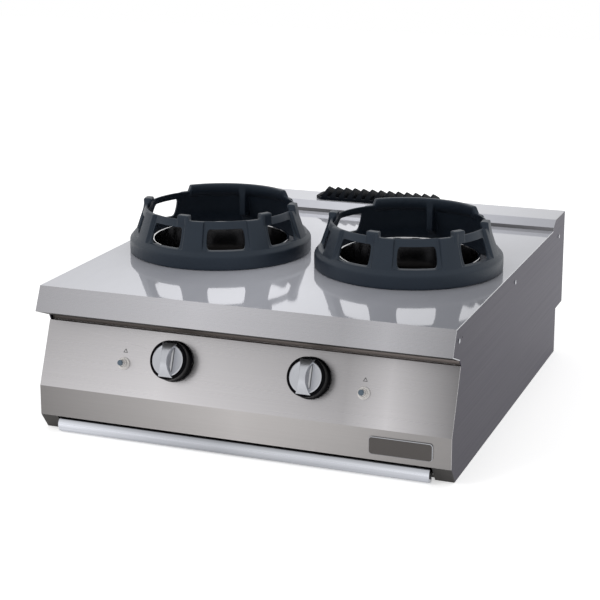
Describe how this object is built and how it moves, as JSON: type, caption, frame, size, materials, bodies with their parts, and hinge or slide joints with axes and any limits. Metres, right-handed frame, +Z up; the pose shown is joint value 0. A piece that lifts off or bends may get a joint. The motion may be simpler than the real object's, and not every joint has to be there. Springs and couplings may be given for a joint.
{
  "type": "wok range",
  "caption": "Counter-top gas wok range: folded steel case, cast wok rings over raised burner wells, push-and-turn knobs, igniter buttons, drip tray and flue grille.",
  "frame": {"origin": "underside of the base's middle cross rail, at the middle of the case's width and depth", "axes": "+Z up, -Y towards the control panel, +X to the right seen from the front"},
  "size_m": [0.803, 0.9144, 0.384],
  "materials": {
    "brushed_steel": "brushed",
    "worktop_steel": "polished",
    "dark_steel": "satin",
    "ring_iron": "matt enamelled",
    "black_iron": "matt",
    "burner_iron": "as cast",
    "black_gloss": "gloss",
    "satin_silver": "satin",
    "cream_plastic": "satin",
    "blue_plastic": "satin",
    "brass": "machined",
    "aluminium": "polished",
    "ceramic": "glazed",
    "plate_dark": "gloss"
  },
  "bodies": {
    "casing": {"left_side_panel": "brushed_steel", "right_side_panel": "brushed_steel", "top_plate": "worktop_steel", "control_panel": "brushed_steel", "flue_box": "brushed_steel", "rear_panel": "brushed_steel", "base_frame": "dark_steel", "name_plate": "plate_dark", "gas_manifold": "brass", "gas_inlet_pipe": "brass", "burner_rail_front": "dark_steel", "burner_rail_rear": "dark_steel", "left_front_corner_bracket": "black_iron", "left_tray_runner": "dark_steel", "left_side_screw_front": "worktop_steel", "left_side_screw_middle": "worktop_steel", "left_side_screw_rear": "worktop_steel", "left_burner_well": "worktop_steel", "left_burner_body": "burner_iron", "left_pilot_burner": "brass", "left_thermocouple": "brass", "left_spark_electrode": "ceramic", "left_gas_valve": "brass", "left_igniter_bezel": "cream_plastic", "left_igniter_pack": "black_gloss", "left_injector": "brass", "left_feed_pipe": "brass", "right_front_corner_bracket": "black_iron", "right_tray_runner": "dark_steel", "right_side_screw_front": "worktop_steel", "right_side_screw_middle": "worktop_steel", "right_side_screw_rear": "worktop_steel", "right_burner_well": "worktop_steel", "right_burner_body": "burner_iron", "right_pilot_burner": "brass", "right_thermocouple": "brass", "right_spark_electrode": "ceramic", "right_gas_valve": "brass", "right_igniter_bezel": "cream_plastic", "right_igniter_pack": "black_gloss", "right_injector": "brass", "right_feed_pipe": "brass"},
    "drip_tray": {"drip_tray": "brushed_steel", "tray_handle": "aluminium"},
    "flue_grille": {"flue_grille": "black_iron"},
    "left_plunger": {"left_valve_plunger": "brass"},
    "left_knob": {"left_knob_body": "black_gloss", "left_knob_face": "satin_silver", "left_valve_spindle": "brass"},
    "left_button": {"left_igniter_button": "blue_plastic"},
    "left_ring": {"left_wok_ring": "ring_iron"},
    "left_cap": {"left_burner_cap": "burner_iron"},
    "right_plunger": {"right_valve_plunger": "brass"},
    "right_knob": {"right_knob_body": "black_gloss", "right_knob_face": "satin_silver", "right_valve_spindle": "brass"},
    "right_button": {"right_igniter_button": "blue_plastic"},
    "right_ring": {"right_wok_ring": "ring_iron"},
    "right_cap": {"right_burner_cap": "burner_iron"}
  },
  "joints": [
    {"name": "left_knob_push", "type": "slide", "parent": "casing", "child": "left_plunger", "axis": [0, 0.9296, -0.3686], "range_m": [0, 0.003], "stiffness_N_per_m": 1500, "springref_m": -0.003},
    {"name": "left_knob_turn", "type": "hinge", "parent": "left_plunger", "child": "left_knob", "pos_m": [-0.1332, -0.41565, 0.15798], "axis": [0, -0.9296, 0.3686], "range_deg": [0, 210]},
    {"name": "left_igniter_push", "type": "slide", "parent": "casing", "child": "left_button", "axis": [0, 0.9296, -0.3686], "range_m": [0, 0.005], "stiffness_N_per_m": 400, "springref_m": -0.003},
    {"name": "left_ring_lift", "type": "slide", "parent": "casing", "child": "left_ring", "axis": [0, 0, 1], "range_m": [0, 0.15]},
    {"name": "left_cap_lift", "type": "slide", "parent": "casing", "child": "left_cap", "axis": [0, 0, 1], "range_m": [0, 0.2]},
    {"name": "right_knob_push", "type": "slide", "parent": "casing", "child": "right_plunger", "axis": [0, 0.9296, -0.3686], "range_m": [0, 0.003], "stiffness_N_per_m": 1500, "springref_m": -0.003},
    {"name": "right_knob_turn", "type": "hinge", "parent": "right_plunger", "child": "right_knob", "pos_m": [0.1332, -0.41565, 0.15798], "axis": [0, -0.9296, 0.3686], "range_deg": [0, 210]},
    {"name": "right_igniter_push", "type": "slide", "parent": "casing", "child": "right_button", "axis": [0, 0.9296, -0.3686], "range_m": [0, 0.005], "stiffness_N_per_m": 400, "springref_m": -0.003},
    {"name": "right_ring_lift", "type": "slide", "parent": "casing", "child": "right_ring", "axis": [0, 0, 1], "range_m": [0, 0.15]},
    {"name": "right_cap_lift", "type": "slide", "parent": "casing", "child": "right_cap", "axis": [0, 0, 1], "range_m": [0, 0.2]},
    {"name": "tray_slide", "type": "slide", "parent": "casing", "child": "drip_tray", "axis": [0, -1, 0], "range_m": [0, 0.45]},
    {"name": "grille_lift", "type": "slide", "parent": "casing", "child": "flue_grille", "axis": [0, 0, 1], "range_m": [0, 0.06]}
  ]
}
